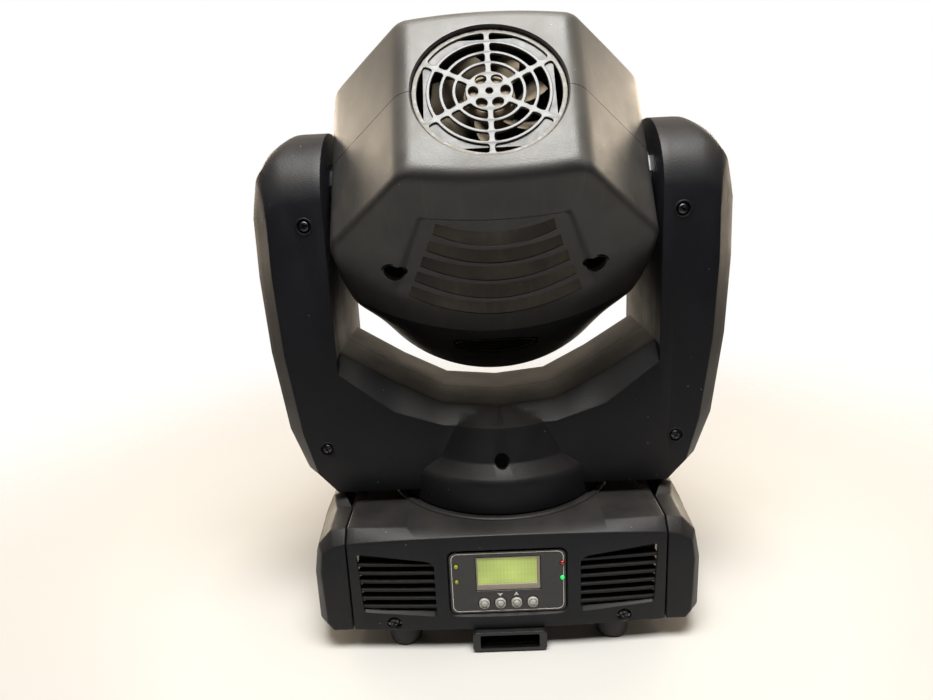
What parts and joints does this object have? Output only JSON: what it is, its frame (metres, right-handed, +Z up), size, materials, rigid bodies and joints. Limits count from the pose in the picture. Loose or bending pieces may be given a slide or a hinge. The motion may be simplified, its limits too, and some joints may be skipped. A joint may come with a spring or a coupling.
{
  "type": "moving head light",
  "caption": "Moving head stage light: base with control panel, U-shaped panning yoke and tilting faceted head with rear fan grille and front lens.",
  "frame": {"origin": "on the pan axis, at the underside of the base plate; the feet stand 16.7 mm below it", "axes": "+Z up along the pan axis, -Y to the front with the control panel, +X to the viewer's right; the head's lens points down towards +Y at rest"},
  "size_m": [0.332, 0.2656, 0.4316],
  "materials": {
    "black_abs": "fine spark-grain moulded black ABS",
    "black_trim": "smooth black moulded plastic",
    "grille_grey": "satin grey-black moulded grille",
    "steel": "bright steel",
    "zinc_plate": "zinc-plated steel",
    "black_enamel": "black powder-coated steel",
    "rubber": "matt black rubber",
    "black_screw": "black-oxide steel",
    "motor_black": "black painted motor case",
    "board_green": "green solder mask",
    "lcd": "yellow-green backlit display",
    "button_grey": "grey rubber-feel plastic",
    "led_amber": "tinted epoxy lamp",
    "led_red": "tinted epoxy lamp",
    "led_green": "tinted epoxy lamp, lit",
    "pulley_aluminium": "turned aluminium",
    "fan_black": "black moulded fan",
    "heat_sink": "extruded aluminium",
    "lens_glass": "clear polished lens",
    "name_plate": "blank gloss label",
    "dichroic": "coated dichroic glass",
    "gobo_steel": "etched steel"
  },
  "bodies": {
    "base": {"base_shell": "black_abs", "side_cover_left": "black_abs", "side_cover_right": "black_abs", "base_plate": "steel", "foot_front_left": "rubber", "foot_front_right": "rubber", "foot_rear_left": "rubber", "foot_rear_right": "rubber", "base_screw_left": "black_screw", "base_screw_right": "black_screw", "clamp_bracket": "black_enamel", "power_supply": "zinc_plate", "pan_motor": "motor_black", "pan_bearing": "zinc_plate", "control_board": "board_green", "pan_belt": "rubber", "power_inlet": "black_trim", "signal_in_socket": "zinc_plate", "signal_out_socket": "zinc_plate", "control_panel": "black_trim", "lcd_module": "lcd", "led_signal": "led_amber", "led_master": "led_amber", "led_slave": "led_red", "led_sound": "led_green"},
    "pan_drive": {"pan_drive_pulley": "pulley_aluminium"},
    "menu_key": {"button_menu": "button_grey"},
    "down_key": {"button_down": "button_grey"},
    "up_key": {"button_up": "button_grey"},
    "enter_key": {"button_enter": "button_grey"},
    "yoke": {"yoke_front_cover": "black_abs", "yoke_rear_cover": "black_abs", "yoke_frame": "zinc_plate", "pan_pulley": "pulley_aluminium", "yoke_screw_lower_left": "black_screw", "yoke_screw_upper_left": "black_screw", "yoke_screw_lower_right": "black_screw", "yoke_screw_upper_right": "black_screw", "tilt_motor": "motor_black", "tilt_belt": "rubber", "tilt_bearing_left": "steel", "tilt_bearing_right": "steel"},
    "tilt_drive": {"tilt_drive_pulley": "pulley_aluminium"},
    "head": {"head_upper_cover": "black_abs", "head_lower_cover": "black_abs", "head_front_cover": "black_trim", "front_lens": "lens_glass", "fan_grille": "grille_grey", "fan_frame": "black_trim", "light_engine": "heat_sink", "tilt_shaft_left": "zinc_plate", "tilt_shaft_right": "pulley_aluminium", "head_screw_left": "black_screw", "head_screw_right": "black_screw", "name_plate": "name_plate"},
    "fan": {"fan_rotor": "fan_black"},
    "colours": {"colour_wheel": "dichroic"},
    "gobos": {"gobo_wheel": "gobo_steel"},
    "focus": {"focus_carriage": "zinc_plate"}
  },
  "joints": [
    {"name": "pan", "type": "hinge", "parent": "base", "child": "yoke", "pos_m": [0, 0, 0.06], "axis": [0, 0, 1], "range_deg": [-270, 270]},
    {"name": "pan_drive_spin", "type": "hinge", "parent": "base", "child": "pan_drive", "pos_m": [0, 0.062, 0.06], "axis": [0, 0, 1], "range_deg": [-1080, 1080]},
    {"name": "tilt", "type": "hinge", "parent": "yoke", "child": "head", "pos_m": [0, 0, 0.304], "axis": [1, 0, 0], "range_deg": [-9.5, 260.5]},
    {"name": "tilt_drive_spin", "type": "hinge", "parent": "yoke", "child": "tilt_drive", "pos_m": [0.147, 0, 0.205], "axis": [1, 0, 0], "range_deg": [-29.69, 814.06]},
    {"name": "fan_spin", "type": "hinge", "parent": "head", "child": "fan", "pos_m": [0, -0.07327, 0.35626], "axis": [0, 0.8141, -0.5807], "continuous": true},
    {"name": "colour_spin", "type": "hinge", "parent": "head", "child": "colours", "pos_m": [0.034, 0, 0.304], "axis": [0, 0.8141, -0.5807], "continuous": true},
    {"name": "gobo_spin", "type": "hinge", "parent": "head", "child": "gobos", "pos_m": [0.034, 0.00977, 0.29703], "axis": [0, 0.8141, -0.5807], "continuous": true},
    {"name": "focus_slide", "type": "slide", "parent": "head", "child": "focus", "axis": [0, 0.8141, -0.5807], "range_m": [-0.014, 0.018]},
    {"name": "menu_press", "type": "slide", "parent": "base", "child": "menu_key", "axis": [0, 1, 0], "range_m": [0, 0.0009], "stiffness_N_per_m": 800, "springref_m": -0.0005},
    {"name": "down_press", "type": "slide", "parent": "base", "child": "down_key", "axis": [0, 1, 0], "range_m": [0, 0.0009], "stiffness_N_per_m": 800, "springref_m": -0.0005},
    {"name": "up_press", "type": "slide", "parent": "base", "child": "up_key", "axis": [0, 1, 0], "range_m": [0, 0.0009], "stiffness_N_per_m": 800, "springref_m": -0.0005},
    {"name": "enter_press", "type": "slide", "parent": "base", "child": "enter_key", "axis": [0, 1, 0], "range_m": [0, 0.0009], "stiffness_N_per_m": 800, "springref_m": -0.0005}
  ],
  "couplings": [
    {"joint": "pan_drive_spin", "follows": "pan", "ratio": 4},
    {"joint": "tilt_drive_spin", "follows": "tilt", "ratio": 3.125}
  ]
}
